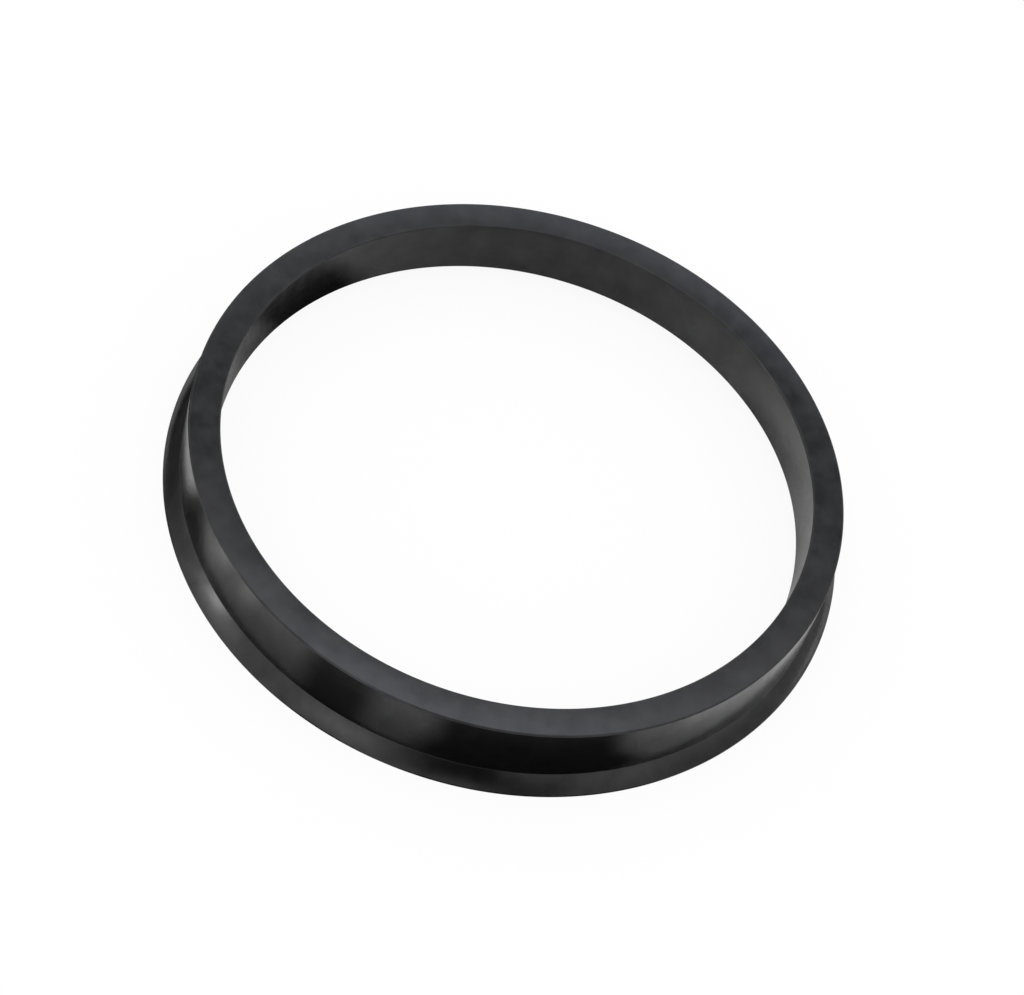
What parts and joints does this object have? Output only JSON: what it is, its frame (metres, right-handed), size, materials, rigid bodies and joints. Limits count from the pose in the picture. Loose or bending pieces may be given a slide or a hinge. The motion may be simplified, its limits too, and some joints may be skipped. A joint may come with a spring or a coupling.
{
  "type": "hub centric ring",
  "caption": "Thin-walled black plastic ring with a flared lip at its base, which centres a wheel's oversize bore on a smaller hub spigot.",
  "frame": {"origin": "on the ring's axis, in the plane of the flange face that it lies on", "axes": "+Z along the axis, from the flange face into the wheel; X and Y are any two directions across it, as the ring is round"},
  "size_m": [0.0764, 0.0764, 0.0092],
  "materials": {
    "black_plastic": "satin moulded plastic, near black"
  },
  "bodies": {
    "root": {"hub_centric_ring": "black_plastic"}
  },
  "joints": []
}
